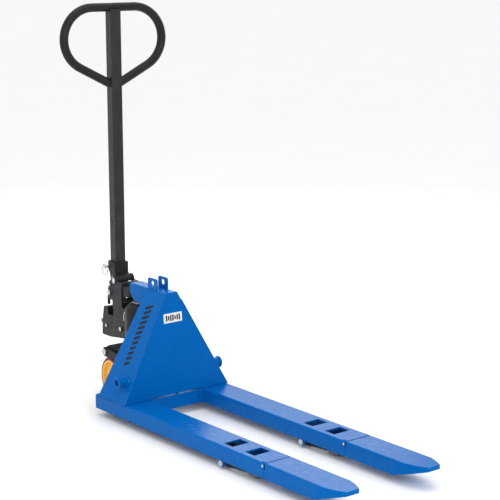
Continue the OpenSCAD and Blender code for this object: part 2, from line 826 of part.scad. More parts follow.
// Cast body behind the tank, with the plunger's well and the two ears of the handle pivot
module pump_body() {
    well_half = 19;
    ear_w = pump_half - ear_in;
    neck_x = -tank_r + 8;
    rear_low = [-lever_back + 12, 185];
    color(black) at_pump() difference() {
        union() {
            across_y(2 * pump_half) polygon([[neck_x, tank_low + 4], [neck_x, 300],
                [plunger_x + well_half, 318], [plunger_x + well_half, spring_low],
                [plunger_x - well_half, spring_low], [plunger_x - well_half, 288],
                [-196, 284], [-205, 246], rear_low, [-150, 188], [-80, 199]]);
            for (s = [-1, 1]) translate([0, s * (ear_in + ear_w / 2), 0]) across_y(ear_w) {
                translate([-pivot_back, pivot_z]) circle(17);
                polygon([[-pivot_back + 17, pivot_z], [-88, 300], [-168, 296], [-166, 340],
                    [-154, 374], [-pivot_back - 8, pivot_z + 15]]);
            }
            block([-88, -62], [-pump_half, pump_half], [372, 386]);
            block([-100, -74], [-pump_half, pump_half], [296, 316]);
            for (s = [-1, 1]) translate([0, -release_y + s * (release_w / 2 + gap + release_ear_t / 2), 0])
                across_y(release_ear_t) {
                    translate([release_x, release_z]) circle(6);
                    translate([release_x, release_z - 6]) square([20, 12]);
                }
            for (s = [-1, 1]) block([-98, -66], [s * (ear_in + ear_w / 2) - ear_w / 2,
                s * (ear_in + ear_w / 2) + ear_w / 2], [300, 386]);
        }
        bar_y(-pivot_back, pivot_z, 8, 2 * pump_half + cut);
        bar_y(release_x, release_z, 2.5, 30, -release_y);
        block([release_x - 8, release_x + 6], [-release_y - release_w / 2 - gap,
            -release_y + release_w / 2 + gap], [release_z - 8, release_z + 8]);
        translate([plunger_x, 0, well_low]) cylinder(r = plunger_r + run, h = 200);
        translate([0, 0, tank_low]) cylinder(r = tank_r + run, h = tank_high);
        translate([plunger_x, 0, spring_low]) cylinder(r = 17, h = 100);
        across_y(2 * pump_half + cut) translate([plunger_x, 0])
            polygon([[-15, spring_low], [15, spring_low], [15, spring_high + 4], [-15, spring_high + 4]]);
    }
}

module pump_plugs() {
    side_x = [-148, plunger_x + 2];
    side_z = [340, 367];
    side_r = [10, 6];
    color(steel) at_pump() {
        for (i = [0, 1]) translate([side_x[i], -pump_half, side_z[i]]) rotate([90, 0, 0])
            cylinder(r = side_r[i], h = 6 - 2 * i, $fn = 6);
        translate([-70, -pump_half, 232]) rotate([90, 0, 0]) cylinder(r = 8, h = 6, $fn = 6);
        translate([-176, -pump_half, 222]) rotate([90, 0, 0]) cylinder(r = 6, h = 4, $fn = 6);
        translate([-70, 0, 386]) cylinder(r = 6, h = 4, $fn = 6);
    }
}

module steer_axle() {
    length = 2 * (wheel_y + wheel_w / 2 + 5);
    color(steel) at_pump() bar_y(-trail, wheel_z, axle_r, length);
}

module axle_clips() {
    face = wheel_y + wheel_w / 2 + 1;
    color(steel) at_pump() for (s = [-1, 1]) translate([-trail, s * (face + 0.75), wheel_z])
        rotate([90, 0, 0]) difference() {
            cylinder(r = axle_r + 5, h = 1.5, center = true);
            cylinder(r = axle_r, h = 3, center = true);
        }
}

module pump_plunger() {
    head_h = 6;
    collar_h = 6;
    color(steel) at_pump() translate([plunger_x, 0, 0]) {
        translate([0, 0, plunger_low]) cylinder(r = plunger_r, h = plunger_top - head_h - plunger_low);
        translate([0, 0, plunger_top - head_h]) cylinder(r = 13, h = head_h);
        translate([0, 0, spring_high]) cylinder(r = 14, h = collar_h);
    }
}

// Coil spring between the floor of the well and the plunger's collar
module plunger_spring() {
    turns = 4;
    steps = 14;
    wire = 1.4;
    coil_r = 12;
    sides = 8;
    rise = spring_high - spring_low - 2 * wire - 0.4;
    count = turns * steps;
    points = [for (i = [0 : count], k = [0 : sides - 1])
        let (a = 360 * i / steps, b = 360 * k / sides, r = coil_r + wire * cos(b))
        [r * cos(a), r * sin(a), rise * i / count + wire * sin(b)]];
    faces = concat(
        [for (i = [0 : count - 1], k = [0 : sides - 1]) let (n = (k + 1) % sides)
            [i * sides + k, i * sides + n, (i + 1) * sides + n, (i + 1) * sides + k]],
        [[for (k = [sides - 1 : -1 : 0]) k]],
        [[for (k = [0 : sides - 1]) count * sides + k]]);
    color(steel) at_pump() translate([plunger_x, 0, spring_low + wire + 0.2])
        polyhedron(points = points, faces = faces, convexity = 6);
}

module release_lever() {
    low = 186;
    t = 4;
    color(steel) at_pump() translate([0, -release_y, 0]) difference() {
        union() {
            block([-lever_back, -lever_back + t], [-release_w / 2, release_w / 2], [low, release_z + 5]);
            bar_y(release_x, release_z, 5, release_w);
            block([-lever_back + t - cut, release_x], [-release_w / 2, release_w / 2],
                [release_z - 5, release_z + 5]);
        }
        bar_y(release_x, release_z, 2.5 + run, release_w + cut);
    }
}

module release_pin() {
    color(steel) at_pump()
        bar_y(release_x, release_z, 2.5, release_w + 2 * (gap + release_ear_t), -release_y);
}

// ---- handle ----

module handle_base() {
    half = socket_w / 2;
    x = -tube_back;
    side = [[x - half, socket_low + 10], [x - half, socket_high], [x + half, socket_high],
        [x + half, socket_low + 2], [-pivot_back + 9, pivot_z + 12], [-pivot_back + 3, pivot_z - 15],
        [plunger_x, pivot_z - 8], [plunger_x - 12, pivot_z], [x - half + 10, socket_low]];
    color(black) at_pump() difference() {
        union() {
            across_y(socket_w) polygon(side);
            bar_y(-pivot_back, pivot_z, 15, socket_w);
            bar_y(plunger_x, pivot_z + press_rise, 12, socket_w);
        }
        translate([x - tube_w / 2, -tube_w / 2, socket_low + 6]) cube([tube_w, tube_w, 100]);
        bar_y(-pivot_back, pivot_z, 8 + run, socket_w + cut);
        bar_y(plunger_x, pivot_z + press_rise, 5, socket_w + cut);
        bar_y(plunger_x, pivot_z + press_rise, press_r + 2, 30);
        block([plunger_x - 20, plunger_x + 14], [-15, 15], [pivot_z - 20, pivot_z + press_rise]);
        bar_y(lock_x, lock_z, lock_r, socket_w + cut);
    }
}

module handle_pin() {
    color(steel) at_pump() {
        bar_y(-pivot_back, pivot_z, 8, 2 * pump_half + 2);
        bar_y(-pivot_back, pivot_z, 10, 3, -pump_half - 2.5);
        bar_y(-pivot_back, pivot_z, 10, 1.5, pump_half + 1.75);
    }
}

module press_roller() {
    color(steel) at_pump() difference() {
        bar_y(plunger_x, pivot_z + press_rise, press_r, 28);
        bar_y(plunger_x, pivot_z + press_rise, 5 + run, 30);
    }
}

module roller_pin() {
    color(steel) at_pump() bar_y(plunger_x, pivot_z + press_rise, 5, socket_w);
}

module handle_tube() {
    low = socket_low + 6;
    high = handle_height - 1.4 * loop_r;
    inner = tube_w - 2 * tube_t;
    color(black) at_pump() translate([-tube_back, 0, 0]) difference() {
        translate([-tube_w / 2, -tube_w / 2, low]) cube([tube_w, tube_w, high - low]);
        translate([-inner / 2, -inner / 2, low - cut]) cube([inner, inner, high - low - loop_r]);
        bar_y(lock_x + tube_back, lock_z, lock_r, tube_w + cut);
        translate([0, -tube_w / 2, 575]) rotate([90, 0, 0]) cylinder(r = 3.5, h = 3 * tube_t, center = true);
        translate([0, 0, handle_height - loop_r]) rotate([90, 0, 0])
            cylinder(r = loop_r, h = 2 * tube_w, center = true);
    }
}

// One side of the loop: the bend and the arm back to the tube
module half_loop(s, r) {
    centre_y = loop_w / 2 - loop_r - side_r;
    centre_z = handle_height - loop_r - side_r;
    foot = [tube_w / 2 - 2, loop_low + loop_r];
    to_foot = foot - [centre_y, centre_z];
    bend = -atan2(to_foot[1], to_foot[0]) - acos(side_r / norm(to_foot));
    arm = sqrt(to_foot * to_foot - side_r * side_r);
    mirror([0, s > 0 ? 0 : 1, 0]) translate([0, centre_y, centre_z]) {
        rotate([90, 0, 90]) rotate([0, 0, -bend]) rotate_extrude(angle = 90 + bend)
            translate([side_r, 0]) circle(r);
        translate([0, side_r * cos(bend), -side_r * sin(bend)]) rotate([180 - bend, 0, 0])
            translate([0, 0, -joint_l]) cylinder(r = r - joint_step, h = arm + joint_l);
    }
}

module whole_loop(r) {
    centre_y = loop_w / 2 - loop_r - side_r;
    for (s = [-1, 1]) half_loop(s, r);
    bar_y(0, handle_height - loop_r, r - joint_step, 2 * (centre_y + joint_l));
}

module handle_loop() {
    color(black) at_pump() translate([-tube_back, 0, 0]) difference() {
        whole_loop(loop_r);
        whole_loop(loop_r - loop_t);
        translate([-tube_w / 2, -tube_w / 2, loop_low - loop_r]) cube([tube_w, tube_w, 6 * loop_r]);
    }
}

// The pin stands out far enough for its ring to swing past the plugs on the casting
module lock_pin() {
    tail = socket_w / 2 + 1;
    color(steel) at_pump() {
        bar_y(lock_x, lock_z, lock_r, lock_out + tail, (tail - lock_out) / 2);
        bar_y(lock_x, lock_z, lock_r + 3, 3, -lock_out - 1.5);
    }
}

// Ring that hangs on the lock pin, behind its head
module lock_ring() {
    ring_r = 18;
    wire = 1.6;
    sag = ring_r - wire - lock_r - 0.3;
    color(steel) at_pump() translate([lock_x - sag * sin(lock_lean), wire + 0.5 - lock_out,
        lock_z - sag * cos(lock_lean)]) rotate([90, 0, 0]) rotate_extrude()
            translate([ring_r, 0]) circle(wire, $fn = 24);
}

// ---- steering wheels ----

module wheel_hub(side) {
    face = wheel_w / 2;
    rim = 6;
    web = 12;
    boss = axle_r + 12;
    color(yellow) at_pump() translate([-trail, side * wheel_y, wheel_z]) rotate([90, 0, 0])
        rotate_extrude() polygon([[axle_r + run, -face], [boss, -face], [boss + 4, -web],
            [hub_r - rim - 4, -web], [hub_r - rim, -face], [hub_r, -face], [hub_r, face],
            [hub_r - rim, face], [hub_r - rim - 4, web], [boss + 4, web], [boss, face],
            [axle_r + run, face]]);
}

module right_wheel_hub() wheel_hub(right);
module left_wheel_hub() wheel_hub(left);

module tyre(side) {
    face = wheel_w / 2;
    r = wheel_d / 2;
    edge = 5;
    color(dark_red) at_pump() translate([-trail, side * wheel_y, wheel_z]) rotate([90, 0, 0])
        rotate_extrude() polygon([[hub_r, -face], [r - edge, -face], [r, -face + edge],
            [r, face - edge], [r - edge, face], [hub_r, face]]);
}

module right_tyre() tyre(right);
module left_tyre() tyre(left);

right_fork();
left_fork();
cross_member();
front_plate();
right_side_plate();
left_side_plate();
top_cap();
lifting_lugs();
pivot_bosses();
piston_seat();
piston_rod();
load_plate();
foot_bolt();
bracket_pins();
tip_pins();
right_tip();
left_tip();
torsion_shaft();
lift_arms();
push_levers();
lever_pins();
right_push_rod();
left_push_rod();
right_bracket();
left_bracket();
right_eye_pin();
left_eye_pin();
right_roller_axle();
left_roller_axle();
right_roller();
left_roller();
right_roller_bush();
left_roller_bush();
swivel_plate();
thrust_bearing();
swivel_bolts();
pump_base();
base_clip();
oil_tank();
tank_gland();
pump_body();
pump_plugs();
steer_axle();
axle_clips();
pump_plunger();
plunger_spring();
release_lever();
release_pin();
handle_base();
handle_pin();
press_roller();
roller_pin();
handle_tube();
handle_loop();
lock_pin();
lock_ring();
right_wheel_hub();
left_wheel_hub();
right_tyre();
left_tyre();
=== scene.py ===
import json
import math
import bmesh
import bpy
from mathutils import Matrix, Vector

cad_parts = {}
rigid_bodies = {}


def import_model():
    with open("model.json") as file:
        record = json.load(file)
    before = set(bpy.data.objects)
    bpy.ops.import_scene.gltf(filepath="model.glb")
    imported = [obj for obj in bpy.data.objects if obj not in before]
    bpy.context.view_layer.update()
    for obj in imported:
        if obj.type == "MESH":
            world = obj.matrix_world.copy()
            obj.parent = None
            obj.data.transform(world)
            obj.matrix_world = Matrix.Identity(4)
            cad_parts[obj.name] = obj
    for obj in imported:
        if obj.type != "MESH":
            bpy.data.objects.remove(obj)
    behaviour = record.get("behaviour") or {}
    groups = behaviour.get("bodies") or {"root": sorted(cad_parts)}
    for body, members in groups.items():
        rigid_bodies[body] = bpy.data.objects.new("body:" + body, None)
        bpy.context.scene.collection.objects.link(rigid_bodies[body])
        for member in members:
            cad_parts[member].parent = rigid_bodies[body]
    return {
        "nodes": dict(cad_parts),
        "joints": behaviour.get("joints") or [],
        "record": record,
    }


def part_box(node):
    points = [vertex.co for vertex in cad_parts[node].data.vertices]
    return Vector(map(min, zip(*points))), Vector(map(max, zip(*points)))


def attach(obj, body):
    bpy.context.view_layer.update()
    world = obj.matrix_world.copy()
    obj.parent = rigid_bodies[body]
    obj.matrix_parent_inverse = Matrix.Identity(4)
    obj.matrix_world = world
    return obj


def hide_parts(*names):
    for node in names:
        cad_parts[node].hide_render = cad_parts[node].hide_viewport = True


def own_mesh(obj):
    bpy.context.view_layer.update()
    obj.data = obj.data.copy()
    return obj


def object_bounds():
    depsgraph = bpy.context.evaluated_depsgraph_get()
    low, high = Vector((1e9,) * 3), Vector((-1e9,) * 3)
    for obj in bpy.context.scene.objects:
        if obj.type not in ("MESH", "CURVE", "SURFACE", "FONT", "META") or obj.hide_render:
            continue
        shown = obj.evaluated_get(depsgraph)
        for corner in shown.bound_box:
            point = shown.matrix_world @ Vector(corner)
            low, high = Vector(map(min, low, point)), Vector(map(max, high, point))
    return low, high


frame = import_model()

CAD_BOX = [list(corner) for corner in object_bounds()]
MM = 0.001

# ---- places on the truck, all worked out from the frame ----
JOINTS = {joint["name"]: joint for joint in frame["joints"]}
BODY_OF = {node: body for body, nodes in frame["record"]["behaviour"]["bodies"].items() for node in nodes}
RIGHT, LEFT = -1, 1
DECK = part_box("right_fork")[1].z
FOOT_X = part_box("cross_member")[1].x
FORK_SPAN = 2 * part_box("left_fork")[1].y
FORK_WIDTH = FORK_SPAN / 2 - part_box("left_fork")[0].y
STEER = Vector(JOINTS["steer"]["pos_m"])
ACROSS = Vector(JOINTS["right_wheel_spin"]["axis"])
FORWARD = Vector((ACROSS.y, -ACROSS.x, 0))


def at_pump(x, y, z):
    """A point given in millimetres from the steering axis, along the turned pump."""
    return Vector((STEER.x, STEER.y, 0)) + (FORWARD * x + ACROSS * y + Vector((0, 0, z))) * MM


def pump_matrix(x=0, y=0, z=0):
    """The pump's own axes, moved to a point of at_pump."""
    up = Vector((0, 0, 1))
    turn = Matrix((FORWARD, ACROSS, up)).transposed().to_4x4()
    return Matrix.Translation(at_pump(x, y, z)) @ turn


# ---- finishes ----
class Finish:
    """A material and short calls that add its nodes. Colour and height follow Object coordinates."""

    def __init__(self, name):
        self.material = bpy.data.materials.new(name)
        self.material.use_nodes = True
        self.tree = self.material.node_tree
        self.shader = self.tree.nodes["Principled BSDF"]
        self.place = self.tree.nodes.new("ShaderNodeTexCoord").outputs["Object"]

    def set(self, **values):
        for key, value in values.items():
            self.shader.inputs[key.replace("_", " ")].default_value = value
        return self

    def node(self, kind, **inputs):
        made = self.tree.nodes.new(kind)
        for key, value in inputs.items():
            socket = made.inputs[key.replace("_", " ")]
            if isinstance(value, bpy.types.NodeSocket):
                self.tree.links.new(value, socket)
            else:
                socket.default_value = value
        return made

    def stretched(self, x, y, z):
        return self.node("ShaderNodeMapping", Vector=self.place, Scale=(x, y, z)).outputs[0]

    def noise(self, scale, detail=3.0, roughness=0.55, place=None):
        made = self.node("ShaderNodeTexNoise", Vector=place or self.place, Scale=scale, Detail=detail,
                         Roughness=roughness)
        return made.outputs["Fac"]

    def pits(self, scale):
        return self.node("ShaderNodeTexVoronoi", Vector=self.place, Scale=scale).outputs["Distance"]

    def ramp(self, factor, *stops):
        made = self.node("ShaderNodeValToRGB", Fac=factor)
        elements = made.color_ramp.elements
        while len(elements) < len(stops):
            elements.new(0.5)
        for element, (position, value) in zip(elements, stops):
            element.position = position
            element.color = value if isinstance(value, tuple) else (value, value, value, 1)
        return made.outputs["Color"]

    def mix(self, factor, a, b):
        made = self.tree.nodes.new("ShaderNodeMix")
        made.data_type = "RGBA"
        for index, value in ((0, factor), (6, a), (7, b)):
            if isinstance(value, bpy.types.NodeSocket):
                self.tree.links.new(value, made.inputs[index])
            else:
                made.inputs[index].default_value = value
        return made.outputs[2]

    def math(self, operation, a, b):
        made = self.tree.nodes.new("ShaderNodeMath")
        made.operation = operation
        for index, value in enumerate((a, b)):
            if isinstance(value, bpy.types.NodeSocket):
                self.tree.links.new(value, made.inputs[index])
            else:
                made.inputs[index].default_value = value
        return made.outputs[0]

    def colour(self, socket):
        self.tree.links.new(socket, self.shader.inputs["Base Color"])
        return self

    def rough(self, socket):
        self.tree.links.new(socket, self.shader.inputs["Roughness"])
        return self

    def bump(self, height, distance, strength=1.0):
        made = self.node("ShaderNodeBump", Height=height, Distance=distance, Strength=strength)
        self.tree.links.new(made.outputs[0], self.shader.inputs["Normal"])
        return self


def rgb(red, green, blue):
    return (red, green, blue, 1.0)


BLUE_DEEP, BLUE_BRIGHT = rgb(0.0, 0.095, 0.37), rgb(0.0, 0.118, 0.43)
PRIMER = rgb(0.1, 0.38, 0.62)


def blue_coat(name, worn):
    """Blue powder coat with slight orange peel; a worn one shows chips down to a pale primer."""
    coat = Finish(name)
    shade = coat.mix(coat.noise(4, 5), BLUE_DEEP, BLUE_BRIGHT)
    dust = coat.ramp(coat.noise(38, 6, 0.7), (0.52, 0.0), (0.8, 0.16))
    shade = coat.mix(dust, shade, rgb(0.0, 0.16, 0.46))
    if worn:
        chips = coat.ramp(coat.noise(210, 4, 0.7), (0.56, 0.05), (0.66, 0.75))
        shade = coat.mix(chips, shade, PRIMER)
    coat.colour(shade)
    coat.rough(coat.ramp(coat.noise(55, 4), (0.3, 0.2), (0.75, 0.34)))
    peel = coat.math("ADD", coat.noise(420, 2), coat.math("MULTIPLY", coat.noise(70, 2), 1.6))
    coat.bump(peel, 0.00012, 0.5)
    return coat.set(Specular_IOR_Level=0.1, Specular_Tint=rgb(0.15, 1.0, 0.95)).material


def black_coat(name, grain, depth, low, high, shade):
    """Black paint: a fine grain for drawn parts, a coarse one for rough castings."""
    coat = Finish(name)
    wear = coat.ramp(coat.noise(26, 6, 0.7), (0.45, 0.0), (0.85, 0.5))
    coat.colour(coat.mix(wear, rgb(*shade), rgb(*[tone * 2.6 for tone in shade])))
    coat.rough(coat.ramp(coat.noise(90, 4), (0.3, low), (0.7, high)))
    sand = coat.math("ADD", coat.noise(grain, 3, 0.65), coat.math("MULTIPLY", coat.pits(grain * 0.45), 0.7))
    return coat.bump(sand, depth, 0.8).set(Specular_IOR_Level=0.2).material


def metal(name, shade, tint, low, high, lay):
    """Bare or plated metal; lay stretches the fine scratches along one axis."""
    plate = Finish(name)
    cloud = plate.ramp(plate.noise(60, 5, 0.6), (0.35, 0.0), (0.7, 1.0))
    plate.colour(plate.mix(cloud, rgb(*shade), rgb(*tint)))
    scratches = plate.noise(900, 2, 0.5, plate.stretched(*lay))
    plate.rough(plate.ramp(scratches, (0.3, low), (0.7, high)))
    return plate.bump(scratches, 0.00003, 0.5).set(Metallic=1.0).material


def yellow_enamel():
    enamel = Finish("yellow_enamel")
    grime = enamel.ramp(enamel.noise(45, 6, 0.75), (0.5, 0.0), (0.85, 0.55))
    enamel.colour(enamel.mix(grime, rgb(0.95, 0.5, 0.05), rgb(0.7, 0.34, 0.03)))
    enamel.rough(enamel.ramp(enamel.noise(120, 3), (0.3, 0.28), (0.7, 0.45)))
    return enamel.bump(enamel.noise(500, 2), 0.00008, 0.5).set(Coat_Weight=0.2, Coat_Roughness=0.2).material


def red_tread():
    tread = Finish("red_tread")
    scuff = tread.ramp(tread.noise(75, 6, 0.75), (0.48, 0.0), (0.8, 0.7))
    tread.colour(tread.mix(scuff, rgb(0.17, 0.006, 0.012), rgb(0.09, 0.02, 0.02)))
    tread.rough(tread.ramp(tread.noise(160, 4), (0.3, 0.4), (0.7, 0.62)))
    return tread.bump(tread.noise(650, 4, 0.7), 0.00015, 0.7).material


def roller_plastic():
    nylon = Finish("roller_plastic")
    turned = nylon.noise(300, 2, 0.4, nylon.stretched(0.02, 1.6, 0.02))
    nylon.colour(nylon.mix(turned, rgb(0.13, 0.11, 0.1), rgb(0.24, 0.21, 0.19)))
    nylon.rough(nylon.ramp(nylon.noise(140, 3), (0.3, 0.38), (0.7, 0.55)))
    return nylon.bump(turned, 0.0001, 0.6).material


def film(name, shade, faded):
    """Printed film: slightly uneven ink and a soft sheen. The same film also gives the near-black painted
    shade inside the fork channels.
    """
    print_film = Finish(name)
    print_film.colour(print_film.mix(print_film.noise(160, 5, 0.7), rgb(*shade), rgb(*faded)))
    print_film.rough(print_film.ramp(print_film.noise(220, 3), (0.3, 0.45), (0.7, 0.6)))
    return print_film.bump(print_film.noise(900, 2), 0.00003, 0.4).set(Specular_IOR_Level=0.1).material


BLUE = blue_coat("blue_powder_coat", worn=False)
BLUE_EDGE = blue_coat("blue_powder_coat_edge", worn=True)
BLACK = black_coat("black_satin_paint", 800, 0.0001, 0.3, 0.42, (0.011, 0.011, 0.012))
TUBE_BLACK = black_coat("black_handle_coat", 1100, 0.00006, 0.34, 0.46, (0.02, 0.02, 0.021))
CAST = black_coat("black_painted_casting", 420, 0.0005, 0.36, 0.55, (0.009, 0.009, 0.01))
ZINC = metal("bright_zinc", (0.6, 0.62, 0.64), (0.42, 0.42, 0.4), 0.2, 0.36, (1, 1, 1))
CHROME = metal("oiled_chrome", (0.34, 0.34, 0.35), (0.2, 0.2, 0.21), 0.12, 0.24, (1, 1, 0.1))
DARK_STEEL = metal("oiled_steel", (0.3, 0.29, 0.28), (0.14, 0.12, 0.11), 0.3, 0.5, (1, 0.2, 1))
YELLOW = yellow_enamel()
TREAD = red_tread()
ROLLER = roller_plastic()
WHITE_FILM = film("white_film", (0.8, 0.8, 0.78), (0.68, 0.69, 0.68))
# painted shade: a near-black blue put on the faces inside the fork and tip channels, where only shade falls
PAINTED_CHANNEL_SHADE = film("painted_channel_shade", (0.002, 0.006, 0.016), (0.006, 0.014, 0.03))
BLACK_PRINT = film("black_print", (0.012, 0.012, 0.014), (0.03, 0.03, 0.034))


# ---- pieces ----
def keep(piece, body):
    """Links a finished piece, and says what it rides on."""
    if piece.name not in bpy.context.scene.collection.objects:
        bpy.context.scene.collection.objects.link(piece)
    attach(piece, body)
    return piece


def weigh_normals(piece):
    """Keeps flat faces flat beside the rounded edges."""
    weigh = piece.modifiers.new("flat_faces", "WEIGHTED_NORMAL")
    weigh.keep_sharp = True
    weigh.weight = 80


MERGE = 0.00002
FLAT = math.radians(0.8)
CREASE = math.radians(32)
CHANNELS = ("right_fork", "left_fork", "right_tip", "left_tip")


def inside_channel(face, node):
    """True for a face that looks into the hollow of a fork or tip; these faces get a painted shade."""
    low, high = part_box(node)
    middle, place = (low.y + high.y) / 2, face.calc_center_median()
    sunk = place.z < DECK - 4.5 * MM and abs(place.y - middle) < FORK_WIDTH / 2 - 4.5 * MM
    return sunk and (face.normal.z < -0.5 or face.normal.y * (place.y - middle) < 0)


def soften(node, finish, width, edge=None, segments=2):
    """Stands a copy of a CAD node, with its edges rounded, in the node's place."""
    mesh = frame["nodes"][node].data.copy()
    shell = bmesh.new()
    shell.from_mesh(mesh)
    bmesh.ops.remove_doubles(shell, verts=shell.verts, dist=MERGE)
    bmesh.ops.dissolve_limit(shell, angle_limit=FLAT, verts=shell.verts, edges=shell.edges)
    for face in shell.faces:
        face.smooth = True
        # faces inside a fork or tip channel take the third slot, the painted shade
        face.material_index = 2 if node in CHANNELS and inside_channel(face, node) else 0
    shell.to_mesh(mesh)
    shell.free()
    mesh.materials.clear()
    mesh.materials.append(finish)
    mesh.materials.append(edge or finish)
    # the painted shade for the channel insides
    if node in CHANNELS:
        mesh.materials.append(PAINTED_CHANNEL_SHADE)
    mesh.set_sharp_from_angle(angle=CREASE)
    piece = bpy.data.objects.new(node + "_finished", mesh)
    bevel = piece.modifiers.new("rounded_edges", "BEVEL")
    bevel.width = width * MM
    bevel.segments = segments
    bevel.limit_method = "ANGLE"
    bevel.angle_limit = CREASE
    bevel.use_clamp_overlap = True
    bevel.material = 1
    weigh_normals(piece)
    keep(piece, BODY_OF[node])
    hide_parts(node)
    return piece


def from_bmesh(name, shell, finish, body, smooth=True):
    mesh = bpy.data.meshes.new(name)
    bmesh.ops.remove_doubles(shell, verts=shell.verts, dist=MERGE / 10)
    bmesh.ops.recalc_face_normals(shell, faces=shell.faces)
    shell.to_mesh(mesh)
    shell.free()
    mesh.materials.append(finish)
    for polygon in mesh.polygons:
        polygon.use_smooth = smooth
    mesh.set_sharp_from_angle(angle=CREASE)
    return keep(bpy.data.objects.new(name, mesh), body)


def turned(shell, matrix, profile, sides=40):
    """A turned piece: (radius, height) points in millimetres, spun about the matrix's Z."""
    rings = []
    for radius, height in profile:
        if radius == 0:
            rings.append([shell.verts.new(matrix @ Vector((0, 0, height * MM)))])
            continue
        ring = []
        for step in range(sides):
            angle = 2 * math.pi * step / sides
            spot = Vector((radius * math.cos(angle), radius * math.sin(angle), height)) * MM
            ring.append(shell.verts.new(matrix @ spot))
        rings.append(ring)
    for low, high in zip(rings, rings[1:]):
        for step in range(sides):
            after = (step + 1) % sides
            if len(low) == 1 and len(high) == 1:
                continue
            if len(low) == 1:
                shell.faces.new((low[0], high[after], high[step]))
            elif len(high) == 1:
                shell.faces.new((low[step], low[after], high[0]))
            else:
                shell.faces.new((low[step], low[after], high[after], high[step]))


def facing(point, direction, twist=0.0):
    """A matrix at point whose Z looks along direction."""
    turn = Vector(direction).to_track_quat("Z", "Y").to_matrix().to_4x4()
    return Matrix.Translation(point) @ turn @ Matrix.Rotation(twist, 4, "Z")


# ---- Geometry Nodes ----
class Tree:
    """A Geometry Nodes tree with named inputs for its sizes."""

    def __init__(self, name, **inputs):
        self.group = bpy.data.node_groups.new(name, "GeometryNodeTree")
        face = self.group.interface
        face.new_socket("Geometry", in_out="INPUT", socket_type="NodeSocketGeometry")
        self.ids = {}
        for key, (kind, value) in inputs.items():
            socket = face.new_socket(key, in_out="INPUT", socket_type="NodeSocket" + kind)
            socket.default_value = value
            self.ids[key] = socket.identifier
        face.new_socket("Geometry", in_out="OUTPUT", socket_type="NodeSocketGeometry")
        self.input = self.group.nodes.new("NodeGroupInput").outputs
        self.output = self.group.nodes.new("NodeGroupOutput").inputs[0]

    def node(self, kind, *sockets, **settings):
        """Adds a node; sockets are (input name or index, value or link) pairs."""
        made = self.group.nodes.new(kind)
        for key, value in settings.items():
            setattr(made, key, value)
        for key, value in sockets:
            if isinstance(value, bpy.types.NodeSocket):
                self.group.links.new(value, made.inputs[key])
            else:
                made.inputs[key].default_value = value
        return made.outputs

    def finish(self, geometry, material):
        real = self.node("GeometryNodeRealizeInstances", ("Geometry", geometry))
        smooth = self.node("GeometryNodeSetShadeSmooth", ("Geometry", real[0]))
        last = self.node("GeometryNodeSetMaterial", ("Geometry", smooth[0]), ("Material", material))
        self.group.links.new(last[0], self.output)
        return self


def grown(name, tree, body, slot, points=(), edges=(), **values):
    """Runs a tree on a small mesh of points and keeps the result as one plain mesh."""
    seed = bpy.data.meshes.new(name + "_seed")
    seed.from_pydata([tuple(point) for point in points] or [(0, 0, 0)], list(edges), [])
    holder = bpy.data.objects.new(name + "_seed", seed)
    bpy.context.scene.collection.objects.link(holder)
    modifier = holder.modifiers.new("growth", "NODES")
    modifier.node_group = tree.group
    for key, value in values.items():
        modifier[tree.ids[key]] = value
    bpy.context.view_layer.update()
    graph = bpy.context.evaluated_depsgraph_get()
    mesh = bpy.data.meshes.new_from_object(holder.evaluated_get(graph), preserve_all_data_layers=True,
                                           depsgraph=graph)
    holder.modifiers.remove(modifier)
    bpy.data.objects.remove(holder)
    mesh.set_sharp_from_angle(angle=CREASE)
    return keep(bpy.data.objects.new(name, mesh), body)


def weld_tree():
    """Overlapping ripples of weld metal along a path."""
    tree = Tree("weld_ripples", radius=("Float", 0.002), spacing=("Float", 0.002), unevenness=("Float", 0.18))
    path = tree.node("GeometryNodeMeshToCurve", ("Mesh", tree.input["Geometry"]))
    points = tree.node("GeometryNodeCurveToPoints", ("Curve", path[0]), ("Length", tree.input["spacing"]),
                       mode="LENGTH")
    bead = tree.node("GeometryNodeMeshUVSphere", ("Segments", 8), ("Rings", 5),
                     ("Radius", tree.input["radius"]))
    least = tree.node("ShaderNodeMath", (0, 1.0), (1, tree.input["unevenness"]), operation="SUBTRACT")
    size = tree.node("FunctionNodeRandomValue", (2, least[0]), (3, 1.0), ("Seed", 7))
    beads = tree.node("GeometryNodeInstanceOnPoints", ("Points", points[0]), ("Instance", bead[0]),
                      ("Rotation", points["Rotation"]), ("Scale", size[1]))
    return tree.finish(beads[0], BLUE_EDGE)


def spring_tree():
    """A round-wire coil spring."""
    tree = Tree("coil_spring", coil_radius=("Float", 0.012), wire_radius=("Float", 0.0014),
                height=("Float", 0.04), turns=("Float", 4.0), foot=("Vector", (0.0, 0.0, 0.0)))
    coil = tree.node("GeometryNodeCurveSpiral", ("Resolution", 40), ("Rotations", tree.input["turns"]),
                     ("Start Radius", tree.input["coil_radius"]), ("End Radius", tree.input["coil_radius"]),
                     ("Height", tree.input["height"]))
    ring = tree.node("GeometryNodeCurvePrimitiveCircle", ("Resolution", 12),
                     ("Radius", tree.input["wire_radius"]), mode="RADIUS")
    wire = tree.node("GeometryNodeCurveToMesh", ("Curve", coil[0]), ("Profile Curve", ring[0]),
                     ("Fill Caps", True))
    placed = tree.node("GeometryNodeTransform", ("Geometry", wire[0]), ("Translation", tree.input["foot"]))
    return tree.finish(placed[0], ZINC)


